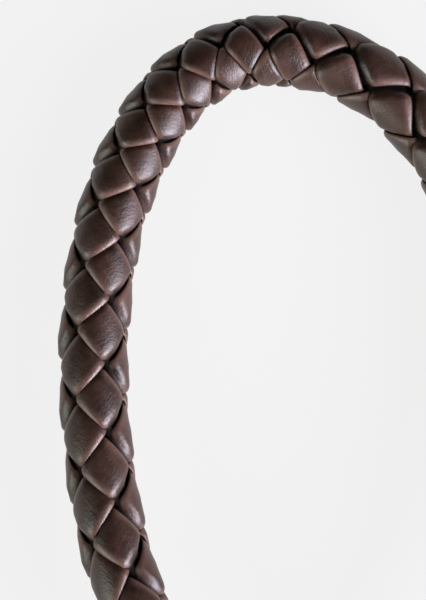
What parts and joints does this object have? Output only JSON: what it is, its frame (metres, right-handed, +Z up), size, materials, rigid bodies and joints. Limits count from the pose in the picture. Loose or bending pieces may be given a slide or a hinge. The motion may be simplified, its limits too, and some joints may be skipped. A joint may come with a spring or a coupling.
{
  "type": "riding crop",
  "caption": "Short riding crop with a plaited leather grip, a round-plaited leather wrist loop at the capped butt, a thin tapered shaft and a folded, stitched leather keeper.",
  "frame": {"origin": "on the table, below the crop's axis, midway between the keeper's folded end and the mouth of the butt cap", "axes": "+Y along the crop from the keeper to the wrist loop, +X across it, +Z up from the table it lies on"},
  "size_m": [0.0652, 0.6656, 0.0283],
  "materials": {
    "loop_leather": "plaited round, glazed, dark chocolate",
    "grip_leather": "plaited over the former, glazed, dark chocolate",
    "knot_leather": "woven band, glazed",
    "collar_leather": "vegetable tanned, edge-painted",
    "keeper_leather": "bridle leather, waxed",
    "shaft_plait": "finely plaited, glazed",
    "rod": "pultruded glass fibre",
    "former": "turned beech, stained dark",
    "nickel": "nickel-plated brass, satin",
    "brass": "polished",
    "steel": "bright drawn",
    "thread": "waxed linen thread",
    "waxed_thread": "waxed thread, close wound",
    "core_cord": "twisted cotton cord"
  },
  "bodies": {
    "crop": {"shaft_rod": "rod", "shaft_cover": "shaft_plait", "grip_former": "former", "grip_cover": "grip_leather", "lower_knot": "knot_leather", "upper_knot": "knot_leather", "ferrule": "nickel", "butt_cap": "nickel", "cap_brads": "brass", "loop_pin": "steel", "loop_ends": "loop_leather", "loop_collar": "collar_leather", "collar_stitching": "thread", "keeper_neck": "keeper_leather", "keeper_whipping": "waxed_thread", "tip_sleeve": "steel"},
    "loop": {"wrist_loop": "loop_leather", "loop_core": "core_cord"},
    "keeper": {"keeper_flap": "keeper_leather", "keeper_rivets": "brass", "keeper_stitching": "thread"}
  },
  "joints": [
    {"name": "loop_lift", "type": "hinge", "parent": "crop", "child": "loop", "pos_m": [0, 0.2805, 0.014], "axis": [1, 0, 0], "range_deg": [0, 60]},
    {"name": "keeper_flex", "type": "hinge", "parent": "crop", "child": "keeper", "pos_m": [0, -0.1675, 0.014], "axis": [1, 0, 0], "range_deg": [-40, 40], "stiffness_Nm_per_rad": 0.2}
  ]
}
